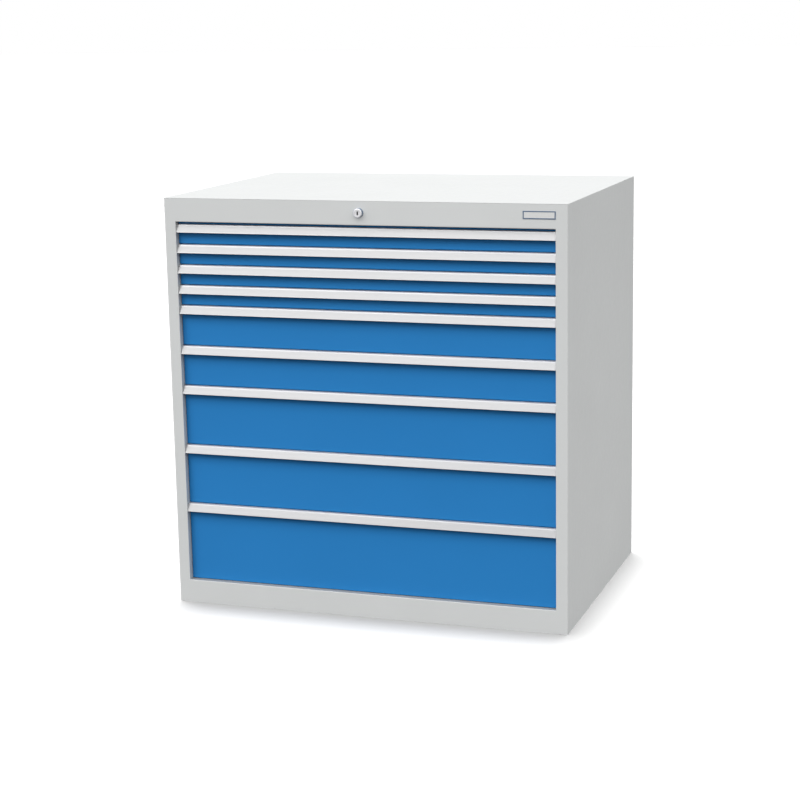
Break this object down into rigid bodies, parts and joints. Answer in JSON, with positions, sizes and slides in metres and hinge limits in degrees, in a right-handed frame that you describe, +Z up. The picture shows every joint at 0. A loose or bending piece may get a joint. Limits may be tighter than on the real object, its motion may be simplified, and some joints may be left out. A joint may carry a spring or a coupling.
{
  "type": "multi-drawer cabinet",
  "caption": "Floor-standing sheet steel drawer cabinet: grey housing, blue fronts with full-width pull strips, telescopic slides and a central lock.",
  "frame": {"origin": "centre of the housing's bottom face, on the floor", "axes": "+Z up, the drawer fronts face -Y, +X to the viewer's right"},
  "size_m": [1.005, 0.736, 1.019],
  "materials": {
    "housing_grey": "light grey powder coat, fine texture, satin",
    "front_blue": "blue powder coat, fine texture, satin",
    "tray_grey": "light grey powder coat, satin",
    "pull_aluminium": "natural anodised, matt",
    "slide_zinc": "bright zinc plated",
    "lock_chrome": "polished chrome",
    "lock_steel": "zinc plated steel",
    "plate_bare": "satin, bare"
  },
  "bodies": {
    "cabinet": {"side_wall_left": "housing_grey", "side_wall_right": "housing_grey", "top_panel": "housing_grey", "base_panel": "housing_grey", "rear_panel": "housing_grey", "top_rail": "housing_grey", "bottom_rail": "housing_grey", "slotted_uprights": "slide_zinc", "cabinet_slides": "slide_zinc", "bar_crossbars": "slide_zinc", "lock_housing": "lock_chrome", "name_plate": "plate_bare"},
    "drawer_1": {"drawer_front_1": "front_blue", "pull_strip_1": "pull_aluminium", "drawer_tray_1": "tray_grey", "drawer_slides_1": "slide_zinc"},
    "drawer_2": {"drawer_front_2": "front_blue", "pull_strip_2": "pull_aluminium", "drawer_tray_2": "tray_grey", "drawer_slides_2": "slide_zinc"},
    "drawer_3": {"drawer_front_3": "front_blue", "pull_strip_3": "pull_aluminium", "drawer_tray_3": "tray_grey", "drawer_slides_3": "slide_zinc"},
    "drawer_4": {"drawer_front_4": "front_blue", "pull_strip_4": "pull_aluminium", "drawer_tray_4": "tray_grey", "drawer_slides_4": "slide_zinc"},
    "drawer_5": {"drawer_front_5": "front_blue", "pull_strip_5": "pull_aluminium", "drawer_tray_5": "tray_grey", "drawer_slides_5": "slide_zinc"},
    "drawer_6": {"drawer_front_6": "front_blue", "pull_strip_6": "pull_aluminium", "drawer_tray_6": "tray_grey", "drawer_slides_6": "slide_zinc"},
    "drawer_7": {"drawer_front_7": "front_blue", "pull_strip_7": "pull_aluminium", "drawer_tray_7": "tray_grey", "drawer_slides_7": "slide_zinc"},
    "drawer_8": {"drawer_front_8": "front_blue", "pull_strip_8": "pull_aluminium", "drawer_tray_8": "tray_grey", "drawer_slides_8": "slide_zinc"},
    "drawer_9": {"drawer_front_9": "front_blue", "pull_strip_9": "pull_aluminium", "drawer_tray_9": "tray_grey", "drawer_slides_9": "slide_zinc"},
    "middle_1": {"middle_slides_1": "slide_zinc"},
    "middle_2": {"middle_slides_2": "slide_zinc"},
    "middle_3": {"middle_slides_3": "slide_zinc"},
    "middle_4": {"middle_slides_4": "slide_zinc"},
    "middle_5": {"middle_slides_5": "slide_zinc"},
    "middle_6": {"middle_slides_6": "slide_zinc"},
    "middle_7": {"middle_slides_7": "slide_zinc"},
    "middle_8": {"middle_slides_8": "slide_zinc"},
    "middle_9": {"middle_slides_9": "slide_zinc"},
    "lock": {"lock_plug": "lock_chrome", "lock_rod": "lock_steel"},
    "bar": {"locking_bar": "lock_steel"}
  },
  "joints": [
    {"name": "drawer_1_slide", "type": "slide", "parent": "cabinet", "child": "drawer_1", "axis": [0, -1, 0], "range_m": [0, 0.6]},
    {"name": "drawer_2_slide", "type": "slide", "parent": "cabinet", "child": "drawer_2", "axis": [0, -1, 0], "range_m": [0, 0.6]},
    {"name": "drawer_3_slide", "type": "slide", "parent": "cabinet", "child": "drawer_3", "axis": [0, -1, 0], "range_m": [0, 0.6]},
    {"name": "drawer_4_slide", "type": "slide", "parent": "cabinet", "child": "drawer_4", "axis": [0, -1, 0], "range_m": [0, 0.6]},
    {"name": "drawer_5_slide", "type": "slide", "parent": "cabinet", "child": "drawer_5", "axis": [0, -1, 0], "range_m": [0, 0.6]},
    {"name": "drawer_6_slide", "type": "slide", "parent": "cabinet", "child": "drawer_6", "axis": [0, -1, 0], "range_m": [0, 0.6]},
    {"name": "drawer_7_slide", "type": "slide", "parent": "cabinet", "child": "drawer_7", "axis": [0, -1, 0], "range_m": [0, 0.6]},
    {"name": "drawer_8_slide", "type": "slide", "parent": "cabinet", "child": "drawer_8", "axis": [0, -1, 0], "range_m": [0, 0.6]},
    {"name": "drawer_9_slide", "type": "slide", "parent": "cabinet", "child": "drawer_9", "axis": [0, -1, 0], "range_m": [0, 0.6]},
    {"name": "middle_1_slide", "type": "slide", "parent": "cabinet", "child": "middle_1", "axis": [0, -1, 0], "range_m": [0, 0.3]},
    {"name": "middle_2_slide", "type": "slide", "parent": "cabinet", "child": "middle_2", "axis": [0, -1, 0], "range_m": [0, 0.3]},
    {"name": "middle_3_slide", "type": "slide", "parent": "cabinet", "child": "middle_3", "axis": [0, -1, 0], "range_m": [0, 0.3]},
    {"name": "middle_4_slide", "type": "slide", "parent": "cabinet", "child": "middle_4", "axis": [0, -1, 0], "range_m": [0, 0.3]},
    {"name": "middle_5_slide", "type": "slide", "parent": "cabinet", "child": "middle_5", "axis": [0, -1, 0], "range_m": [0, 0.3]},
    {"name": "middle_6_slide", "type": "slide", "parent": "cabinet", "child": "middle_6", "axis": [0, -1, 0], "range_m": [0, 0.3]},
    {"name": "middle_7_slide", "type": "slide", "parent": "cabinet", "child": "middle_7", "axis": [0, -1, 0], "range_m": [0, 0.3]},
    {"name": "middle_8_slide", "type": "slide", "parent": "cabinet", "child": "middle_8", "axis": [0, -1, 0], "range_m": [0, 0.3]},
    {"name": "middle_9_slide", "type": "slide", "parent": "cabinet", "child": "middle_9", "axis": [0, -1, 0], "range_m": [0, 0.3]},
    {"name": "lock_turn", "type": "hinge", "parent": "cabinet", "child": "lock", "pos_m": [0, -0.3625, 0.9905], "axis": [0, 1, 0], "range_deg": [0, 90]},
    {"name": "bar_lift", "type": "slide", "parent": "cabinet", "child": "bar", "axis": [0, 0, 1], "range_m": [0, 0.01]}
  ],
  "couplings": [
    {"joint": "middle_1_slide", "follows": "drawer_1_slide", "ratio": 0.5},
    {"joint": "middle_2_slide", "follows": "drawer_2_slide", "ratio": 0.5},
    {"joint": "middle_3_slide", "follows": "drawer_3_slide", "ratio": 0.5},
    {"joint": "middle_4_slide", "follows": "drawer_4_slide", "ratio": 0.5},
    {"joint": "middle_5_slide", "follows": "drawer_5_slide", "ratio": 0.5},
    {"joint": "middle_6_slide", "follows": "drawer_6_slide", "ratio": 0.5},
    {"joint": "middle_7_slide", "follows": "drawer_7_slide", "ratio": 0.5},
    {"joint": "middle_8_slide", "follows": "drawer_8_slide", "ratio": 0.5},
    {"joint": "middle_9_slide", "follows": "drawer_9_slide", "ratio": 0.5},
    {"joint": "lock_turn", "follows": "bar_lift", "rad_per_m": 157.08}
  ]
}
